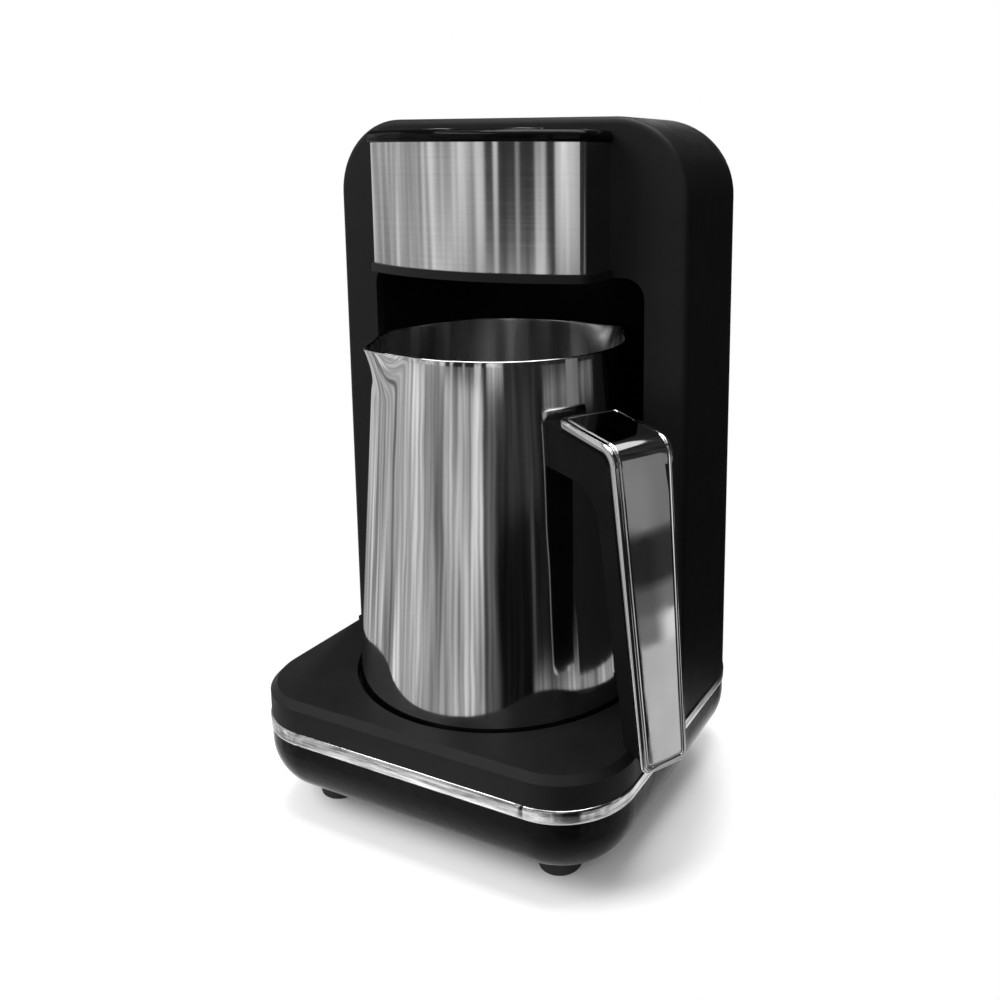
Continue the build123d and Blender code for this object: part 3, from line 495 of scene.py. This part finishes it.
# Pale cards on the dark round wall, in two rows: the head shows the upper row, and the pot and the handle
# the lower one. Each card has its ends in degrees from +X towards +Y, its level and the softness of its
# sides in degrees.
upper_cards = [
    (-195.0, -107.0, 0.58, 3.0),
    (-102.2, -99.8, 0.62, 1.0),
    (-91.0, -89.0, 0.4, 1.0),
    (-81.5, -76.0, 0.5, 1.5),
    (-71.8, -57.8, 0.76, 1.0),
]
lower_cards = [
    (-215.0, -158.0, 0.52, 8.0),
    (-156.0, -124.0, 0.72, 8.0),
    (-126.0, -108.0, 0.34, 8.0),
    (-108.0, -86.0, 0.66, 6.0),
    (-85.0, -74.5, 0.68, 3.0),
    (-74.0, -65.0, 0.13, 12.0),
    (-38.5, -35.5, 0.05, 1.5),
    (104.0, 140.0, 0.55, 8.0),
]
card_low = -690.0
row_split = 95.0
card_high = 900.0
dim_card_low = -60.0
side_card_low = 45.0
floor_card_high = -272.0
card_soft_height = 30.0
# Every card with its low and high ends, the three short ones of the lower row last
studio_cards = [(row_split, card_high, card) for card in upper_cards]
studio_cards += [(card_low, row_split, card) for card in lower_cards]
studio_cards += [
    (dim_card_low, row_split, (-64.0, -30.0, 0.045, 10.0)),
    (side_card_low, row_split, (-24.0, 24.0, 0.22, 4.0)),
    (card_low, floor_card_high, (-38.0, 34.0, 0.5, 4.0)),
]
# The wall is darker still on the handle's side of the lower row
dark_from = -64.0
dark_to = 62.0
dark_share = 0.35
# The wall is uneven: broad and fine streaks, each with its count to the degree and to the millimetre, and
# its depth. Where they are deepest a least share of the level is left, and their seam is behind the object.
card_streaks = [(0.13, 0.0035, 0.7), (0.42, 0.006, 0.8)]
streak_least = 0.1
streak_seam = -270.0


def soft_step(value, edge, soft):
    """Runs from 0 to 1 as the value passes the edge."""
    share = min(max((value - edge) / soft + 0.5, 0.0), 1.0)
    return share * share * (3.0 - 2.0 * share)


def studio_level(degrees, z):
    """The wall's level at a turn and a height."""
    turned = (degrees - streak_seam) % full_turn + streak_seam
    level = studio_base
    if dark_from < turned < dark_to and z < row_split:
        level *= dark_share
    for low, high, (start, finish, bright, soft) in studio_cards:
        off = abs((degrees - (start + finish) / 2 + half_turn) % full_turn - half_turn)
        across = 1.0 - soft_step(off, (finish - start) / 2, soft)
        up = soft_step(z, low, card_soft_height) * (1.0 - soft_step(z, high, card_soft_height))
        level = max(level, bright * across * up)
    for around, along, depth in card_streaks:
        wave = noise.noise(Vector((turned * around, z * along, depth)))
        level *= max(1.0 + depth * wave, streak_least)
    return level


def stage_glow(piece, levels):
    """Makes a piece of the studio glow by its points' levels, for reflections only."""
    shades = piece.data.color_attributes.new("level", "FLOAT_COLOR", "POINT")
    for index, level in enumerate(levels):
        shades.data[index].color = (*grey(level), 1.0)
    s = Shader(piece.name)
    stored = s.add("ShaderNodeVertexColor", layer_name="level")
    glow = s.add("ShaderNodeEmission")
    s.join(stored.outputs["Color"], glow.inputs["Color"])
    s.surface(glow.outputs["Emission"])
    piece.data.materials.append(s.material)
    piece.visible_camera = False
    piece.visible_diffuse = False
    piece.visible_transmission = False
    piece.visible_shadow = False


def make_studio_walls():
    """A round dark wall with pale cards and a dark bottom."""
    rings = []
    levels = []
    for row in range(studio_rows + 1):
        z = studio_low + (studio_high - studio_low) * row / studio_rows
        ring = []
        for step in range(studio_turns):
            degrees = full_turn * step / studio_turns
            turn = math.radians(degrees)
            spot = Vector((studio_radius * math.cos(turn), studio_radius * math.sin(turn), z))
            ring.append(spot * millimetre)
            levels.append(studio_level(degrees, z))
        rings.append(ring)
    middle = [Vector((0.0, 0.0, studio_low)) * millimetre] * studio_turns
    stage_glow(ring_mesh("studio_walls", [middle] + rings), [studio_base] * studio_turns + levels)


# The small card that the grip's face shows. Its zones go down from the top, each with its low end, its level
# at the left and its level at the right. The left gives way to the right at a share of the card's width.
grip_card_x = 280.0
grip_card_left = -31.0
grip_card_right = 24.0
grip_card_top = 210.0
grip_card_zones = [
    (88.0, 0.27, 0.22),
    (60.0, 0.025, 0.04),
    (46.0, 0.12, 0.2),
    (31.0, 0.2, 0.85),
    (-30.0, 0.6, 0.62),
]
grip_card_soft = 5.0
grip_card_change = 0.55
grip_card_change_width = 0.4
grip_card_rows = 80
grip_card_columns = 24


def grip_card_level(across, z):
    """The zone's level at a height, with soft joints between the zones."""
    side = soft_step(across, grip_card_change, grip_card_change_width)
    shades = [left + (right - left) * side for low, left, right in grip_card_zones]
    level = shades[0]
    for zone in range(1, len(shades)):
        below = 1.0 - soft_step(z, grip_card_zones[zone - 1][0], grip_card_soft)
        level += (shades[zone] - level) * below
    return level


def make_grip_card():
    """The small card as an upright sheet beside the handle."""
    bottom = grip_card_zones[-1][0]
    rings = []
    levels = []
    for row in range(grip_card_rows + 1):
        z = bottom + (grip_card_top - bottom) * row / grip_card_rows
        ring = []
        for step in range(grip_card_columns + 1):
            across = step / grip_card_columns
            y = grip_card_left + (grip_card_right - grip_card_left) * across
            ring.append(place(grip_card_x, y, z))
            levels.append(grip_card_level(across, z))
        rings.append(ring)
    stage_glow(ring_mesh("grip_card", rings, close_rings=False), levels)


# A dark flag keeps the small card out of the pot's sight
flag_x = 95.0
flag_left = -28.0
flag_right = 60.0
flag_low = 42.0
flag_high = 140.0


def make_flag():
    """The flag as one upright sheet between the handle and the small card."""
    rings = []
    levels = []
    for z in (flag_low, flag_high):
        ring = [place(flag_x, y, z) for y in (flag_left, flag_right)]
        rings.append(ring)
        levels += [studio_base * dark_share] * len(ring)
    stage_glow(ring_mesh("flag", rings, close_rings=False), levels)


# World and lamps

# The soft light's level away from and towards its side, and its share from below
day_side = (-0.5, -0.62, 0.6)
day_from = -0.4
day_to = 1.0
day_dim = 0.16
day_bright = 0.75
day_under = 0.05
horizon_low = -0.15
horizon_high = 0.05


def make_world():
    """White behind the object, in view and in reflections, and a soft light from the left and the front."""
    world = bpy.data.worlds.new("studio")
    scene.world = world
    tree = Tree(world)
    tree.nodes.clear()
    coords = tree.add("ShaderNodeTexCoord").outputs["Generated"]
    aim = tree.vector_maths("DOT_PRODUCT", coords, day_side).outputs["Value"]
    level = tree.ramp(aim, low=day_dim, high=day_bright, from_low=day_from, from_high=day_to)
    split = tree.add("ShaderNodeSeparateXYZ")
    tree.join(coords, split.inputs["Vector"])
    above = tree.ramp(split.outputs["Z"], low=day_under, high=1.0,
                      from_low=horizon_low, from_high=horizon_high)
    soft = tree.add("ShaderNodeBackground")
    tree.join(tree.maths("MULTIPLY", level, above), soft.inputs["Color"])
    white = tree.add("ShaderNodeBackground")
    white.inputs["Color"].default_value = (*grey(1.0), 1.0)
    path = tree.add("ShaderNodeLightPath")
    seen = path.outputs["Is Camera Ray"]
    for ray in ("Is Glossy Ray", "Is Transmission Ray"):
        seen = tree.maths("MAXIMUM", seen, path.outputs[ray])
    both = tree.mix(seen, soft.outputs["Background"], white.outputs["Background"])
    tree.join(both, tree.add("ShaderNodeOutputWorld").inputs["Surface"])


# Soft lamps: name, place, what it points at, width, height and watts
softboxes = [
    ("key", (-700.0, -700.0, 900.0), (0.0, 0.0, 120.0), 700.0, 700.0, 12.0),
    ("fill", (600.0, -900.0, 700.0), (0.0, 0.0, 120.0), 600.0, 600.0, 4.0),
    ("top", (0.0, 100.0, 1100.0), (0.0, 0.0, 100.0), 800.0, 600.0, 10.0),
    ("rear", (-250.0, 950.0, 450.0), (0.0, 0.0, 120.0), 350.0, 600.0, 10.0),
]


def make_softboxes():
    """Rectangular area lamps, each turned to what it points at."""
    for name, spot, target, width, height, watts in softboxes:
        data = bpy.data.lights.new(name, "AREA")
        data.shape = "RECTANGLE"
        data.size = width * millimetre
        data.size_y = height * millimetre
        data.energy = watts
        lamp = bpy.data.objects.new(name, data)
        lamp.location = place(*spot)
        lamp.rotation_euler = (place(*target) - place(*spot)).to_track_quat("-Z", "Y").to_euler()
        scene.collection.objects.link(lamp)


# Pot

pot_foot_radius = 55.2
pot_taper = 8.8
pot_rim_radius = pot_foot_radius - pot_taper
pot_wall = 1.2
pot_floor = 1.6
pot_foot_round = 4.0
pot_sides = 384
pot_rows = 90
pot_round_steps = 10
# Rings of the flat bottom, as shares of the way from its edge to the axis
pot_bottom_shares = (0.9, 0.5, 0.2, 0.02)
spout_angles = (56.0, 236.0)
spout_bulge = 4.9
spout_height = 18.0
spout_half_turn = 25.0
spout_rise_power = 1.7
spout_tip_power = 1.35
spout_narrowing_share = 0.45


def pot_cone_radius(z):
    """Outer radius of the plain cone at a height."""
    share = (z - pot_bottom) / (pot_rim - pot_bottom)
    return pot_foot_radius + (pot_rim_radius - pot_foot_radius) * share


def spout_swell(z, turn):
    """How far a pouring lip stands out of the round wall."""
    share = (z - pot_rim + spout_height) / spout_height
    if share <= 0:
        return 0
    half = math.radians(spout_half_turn) * (1 - spout_narrowing_share * (1 - share))
    if abs(turn) >= half:
        return 0
    across = 0.5 + 0.5 * math.cos(math.pi * turn / half)
    return spout_bulge * share ** spout_rise_power * across ** spout_tip_power


def pot_radius(z, angle):
    """Outer radius of the pot with its two lips."""
    radius = pot_cone_radius(z)
    for lip in spout_angles:
        turn = (angle - math.radians(lip) + math.pi) % (2 * math.pi) - math.pi
        radius += spout_swell(z, turn)
    return radius


def pot_ring(z, inset):
    """A ring of points at a height, an inset within the pot's outer face."""
    ring = []
    for step in range(pot_sides):
        angle = 2 * math.pi * step / pot_sides
        radius = max(pot_radius(z, angle) - inset, 0)
        ring.append(place(radius * math.cos(angle), pot_axis_y + radius * math.sin(angle), z))
    return ring


def pot_bottom_rings(z):
    """Rings of a flat bottom, from the middle outwards."""
    reach = pot_foot_radius - pot_foot_round
    return [pot_ring(z, pot_foot_round + reach * share) for share in pot_bottom_shares]


def pot_wall_rings(start, finish, inset):
    """Rings of the wall between two heights, without those at its ends."""
    return [pot_ring(start + (finish - start) * step / pot_rows, inset) for step in range(1, pot_rows)]


def pot_round_turns(whole):
    """Even turns of a rounding, from 0 to its whole turn."""
    return [whole * step / pot_round_steps for step in range(pot_round_steps + 1)]


def make_pot():
    """The pot's skin: under the bottom, up the outside, over the rim, and down the inside to the floor."""
    half_wall = pot_wall / 2
    inner_round = pot_foot_round - pot_wall
    floor_z = pot_bottom + pot_floor
    low = pot_bottom + pot_foot_round
    high = pot_rim - half_wall
    rings = pot_bottom_rings(pot_bottom)
    for turn in pot_round_turns(math.pi / 2):
        rise = pot_foot_round * (1 - math.cos(turn))
        rings.append(pot_ring(pot_bottom + rise, pot_foot_round * (1 - math.sin(turn))))
    rings += pot_wall_rings(low, high, 0)
    for turn in pot_round_turns(math.pi):
        rings.append(pot_ring(high + half_wall * math.sin(turn), half_wall * (1 - math.cos(turn))))
    rings += pot_wall_rings(high, low, pot_wall)
    for turn in pot_round_turns(math.pi / 2):
        rise = inner_round * (1 - math.sin(turn))
        rings.append(pot_ring(floor_z + rise, pot_wall + inner_round * (1 - math.cos(turn))))
    rings += reversed(pot_bottom_rings(floor_z))
    pot = ring_mesh("pot_shell", rings, caps=True)
    dress(pot, "pot_steel", "pot", "pot_body")


# Handle

handle_angle = -27.0
handle_tilt = 7.0
handle_gap = 28.8
handle_drop = 21.0
handle_corner_r = pot_foot_radius + handle_gap
handle_corner_z = pot_rim - handle_drop
handle_bend = 8.0
arm_end_gap = 7.6
arm_length = handle_corner_r - pot_rim_radius - arm_end_gap
grip_end_gap = 0.3
grip_length = handle_corner_z - base_top - grip_end_gap
handle_top_half = 12.2
handle_low_half = 9.1
handle_top_spare = 5.43
handle_low_spare = 1.3
handle_top_z = handle_corner_z + handle_top_spare
handle_low_z = base_top - handle_low_spare
handle_end_round = 3.0
cover_thick_top = 4.0
cover_thick_low = 1.6
cover_edge = 0.8
cover_rim = 1.7
cover_groove = 0.9
cover_groove_depth = 0.5
cover_groove_steps = 6
cover_crown = 0.25
# Lines of the mesh by their distance from the cover's edge: over its rounding, the rim, the groove and then
# the face
cover_edge_lines = [0.0, 0.06, 0.15, 0.3, 0.5]
cover_rim_lines = [cover_edge, (cover_edge + cover_rim) / 2]
cover_groove_lines = [cover_rim + cover_groove * step / cover_groove_steps
                      for step in range(cover_groove_steps + 1)]
cover_face_lines = [3.1, 3.6, 4.4, 6.0]
cover_lines = cover_edge_lines + cover_rim_lines + cover_groove_lines + cover_face_lines
cover_middle_steps = 4
arm_stations = 14
bend_stations = 24
grip_stations = 60


def handle_place(r, lateral, z):
    """A place by its distance from the pot's axis, its distance to the handle's left and its height."""
    turn = math.radians(handle_angle)
    x = r * math.cos(turn) - lateral * math.sin(turn)
    y = r * math.sin(turn) + lateral * math.cos(turn)
    return place(x, pot_axis_y + y, z)


def handle_half(z):
    """Half of the handle's width at a height."""
    share = (z - handle_low_z) / (handle_top_z - handle_low_z)
    return handle_low_half + (handle_top_half - handle_low_half) * share


def spaced(length, steps):
    """Distances from one end: the edge's own lines near it, then even steps to the far end."""
    reach = cover_lines[-1]
    return cover_lines + [reach + (length - reach) * step / steps for step in range(1, steps + 1)]


def handle_line():
    """Stations along the cover from the arm's inner end to the grip's foot.

    Each station is its place (r, z), the outward direction there, the distance to the nearer end and
    the cover's thickness."""
    tilt = math.radians(handle_tilt)
    up = math.pi / 2 - tilt
    back = Vector((-math.cos(tilt), math.sin(tilt)))
    down = Vector((math.sin(tilt), -math.cos(tilt)))
    corner = Vector((handle_corner_r, handle_corner_z))
    tangent = handle_bend * math.tan((up - tilt) / 2)
    centre = corner + back * tangent - handle_bend * Vector((math.cos(up), math.sin(up)))
    stations = []
    for distance in spaced(arm_length - tangent, arm_stations):
        stations.append((corner + back * (arm_length - distance), up, distance, cover_thick_top))
    for step in range(1, bend_stations):
        turn = up + (tilt - up) * step / bend_stations
        spot = centre + handle_bend * Vector((math.cos(turn), math.sin(turn)))
        stations.append((spot, turn, arm_length, cover_thick_top))
    for distance in reversed(spaced(grip_length - tangent, grip_stations)):
        along = grip_length - distance
        share = (along - tangent) / (grip_length - tangent)
        thick = cover_thick_top + (cover_thick_low - cover_thick_top) * share
        stations.append((corner + down * along, tilt, distance, thick))
    return stations


def cover_depth(edge):
    """How far the cover's face lies under its outer line, by the distance from its edge."""
    if edge < cover_edge:
        return cover_edge - math.sqrt(max(cover_edge ** 2 - (cover_edge - edge) ** 2, 0))
    if cover_rim <= edge < cover_rim + cover_groove:
        share = (edge - cover_rim) / cover_groove
        return cover_groove_depth * math.sin(math.pi * share) ** 2
    return 0


def cover_edge_distance(side, end):
    """Distance from the cover's outline, which is rounded at the corners of its ends."""
    if side < handle_end_round and end < handle_end_round:
        return handle_end_round - math.hypot(handle_end_round - side, handle_end_round - end)
    return min(side, end)


def make_handle_cover():
    """The chrome strip: a raised rim, a groove inside it and a slightly crowned face."""
    rings = []
    for spot, turn, end, thick in handle_line():
        full_half = handle_half(spot.y)
        half = full_half
        if end < handle_end_round:
            half -= handle_end_round - math.sqrt(handle_end_round ** 2 - (handle_end_round - end) ** 2)
        columns = spaced(full_half, cover_middle_steps)
        laterals = [(distance - full_half) * half / full_half for distance in columns]
        laterals += [-lateral for lateral in reversed(laterals[:-1])]
        outward = Vector((math.cos(turn), math.sin(turn)))
        ring = []
        for lateral in laterals:
            edge = max(cover_edge_distance(full_half - abs(lateral), end), 0)
            depth = min(cover_depth(edge), thick)
            crown = cover_crown * (lateral / full_half) ** 2
            point = spot - outward * (depth + crown)
            ring.append(handle_place(point.x, lateral, point.y))
        inner = spot - outward * thick
        for lateral in (laterals[-1], laterals[-1] / 2, 0, laterals[0] / 2, laterals[0]):
            ring.append(handle_place(inner.x, lateral, inner.y))
        rings.append(ring)
    cover = ring_mesh("handle_strip", rings, caps=True)
    dress(cover, "chrome_trim", "pot", "handle_cover")


# Chrome band round the base

front_corner_radius = 26.1
rear_corner_radius = 24.0
band_proud = 0.4
band_thickness = 2.0
band_split_inset = 0.3
band_split_x = body_half - front_corner_radius - band_split_inset
band_split_gap = 0.15
band_edge = 0.3
band_edge_power = 6
band_rows = 12
corner_steps = 40
side_steps = 30
split_steps = 5
quarter_turn = full_turn / 4


def band_section():
    """The band's section: distance out from the body's plan, and height, all round."""
    section = []
    middle = (tub_top + band_top) / 2
    half = (band_top - tub_top) / 2
    for row in range(band_rows + 1):
        share = 2.0 * row / band_rows - 1.0
        section.append((band_proud - band_edge * share ** band_edge_power, middle + half * share))
    section.append((band_proud - band_thickness, band_top))
    section.append((band_proud - band_thickness, tub_top))
    return section


def corner_stations(x, y, radius, start):
    """Stations of a quarter round: place on the plan and the outward direction in degrees."""
    stations = []
    for step in range(corner_steps + 1):
        degrees = start + quarter_turn * step / corner_steps
        turn = math.radians(degrees)
        stations.append((x + radius * math.cos(turn), y + radius * math.sin(turn), degrees))
    return stations


def stations_between(start, finish, steps):
    """Stations of the straight run between two stations, without these two."""
    x0, y0, degrees = start
    x1, y1, _ = finish
    stations = []
    for step in range(1, steps):
        share = step / steps
        stations.append((x0 + (x1 - x0) * share, y0 + (y1 - y0) * share, degrees))
    return stations


def sweep_band(name, stations, *nodes):
    """A strip of the band along its stations, in place of the named nodes."""
    rings = []
    for x, y, degrees in stations:
        turn = math.radians(degrees)
        ring = []
        for out, z in band_section():
            ring.append(place(x + out * math.cos(turn), y + out * math.sin(turn), z))
        rings.append(ring)
    band = ring_mesh(name, rings, caps=True)
    dress(band, "chrome_trim", "machine", *nodes)
    band.data.materials[0] = materials["chrome_strip"]


def make_front_band():
    """Along the base's front between the two splits."""
    split = band_split_x - band_split_gap / 2
    start = (-split, front_y, -quarter_turn)
    finish = (split, front_y, -quarter_turn)
    stations = [start] + stations_between(start, finish, side_steps) + [finish]
    sweep_band("chrome_strip_front", stations, "chrome_band_front")


def make_rear_band():
    """Round the body from the right split to the left one, by its four corners."""
    split = band_split_x + band_split_gap / 2
    near = front_corner_radius
    far = rear_corner_radius
    corners = [
        corner_stations(body_half - near, front_y + near, near, -quarter_turn),
        corner_stations(body_half - far, back_y - far, far, 0.0),
        corner_stations(far - body_half, back_y - far, far, quarter_turn),
        corner_stations(near - body_half, front_y + near, near, 2 * quarter_turn),
    ]
    stations = [(split, front_y, -quarter_turn)]
    steps = split_steps
    for corner in corners:
        stations += stations_between(stations[-1], corner[0], steps)
        stations += corner
        steps = side_steps
    finish = (-split, front_y, -quarter_turn)
    stations += stations_between(stations[-1], finish, split_steps)
    stations.append(finish)
    sweep_band("chrome_strip_rear", stations, "chrome_band_rear")


make_camera()
dress_frame()
make_floor()
make_studio_walls()
make_grip_card()
make_flag()
make_world()
make_softboxes()
make_pot()
make_handle_cover()
make_front_band()
make_rear_band()
